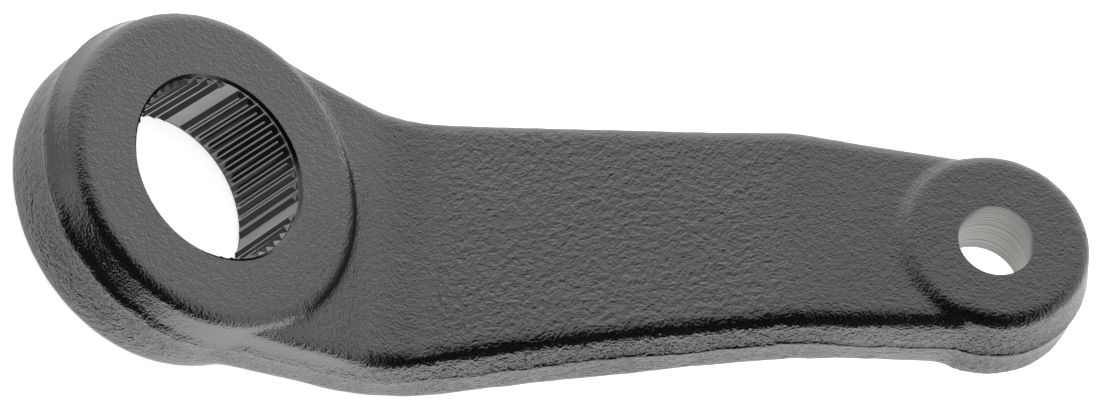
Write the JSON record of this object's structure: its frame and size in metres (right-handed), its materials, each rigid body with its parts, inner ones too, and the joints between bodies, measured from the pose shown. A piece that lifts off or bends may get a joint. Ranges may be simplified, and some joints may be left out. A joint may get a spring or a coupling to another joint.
{
  "type": "pitman arm",
  "caption": "Forged steel steering arm, dropped by two bends, with a tapered serrated bore at its hub end and a tapered ball stud hole in a small boss at its far end.",
  "frame": {"origin": "hub axis at the gear face, the end where the tapered serration is widest", "axes": "+Z along the hub axis towards the nut face, +X from the hub towards the stud end, in the arm's plane of symmetry"},
  "size_m": [0.1808, 0.065, 0.1053],
  "materials": {
    "black_coat": "satin black coat over a shot-blasted forging skin",
    "machined_steel": "bright broached and reamed bore walls"
  },
  "bodies": {
    "root": {"pitman_arm": "black_coat"}
  },
  "joints": []
}
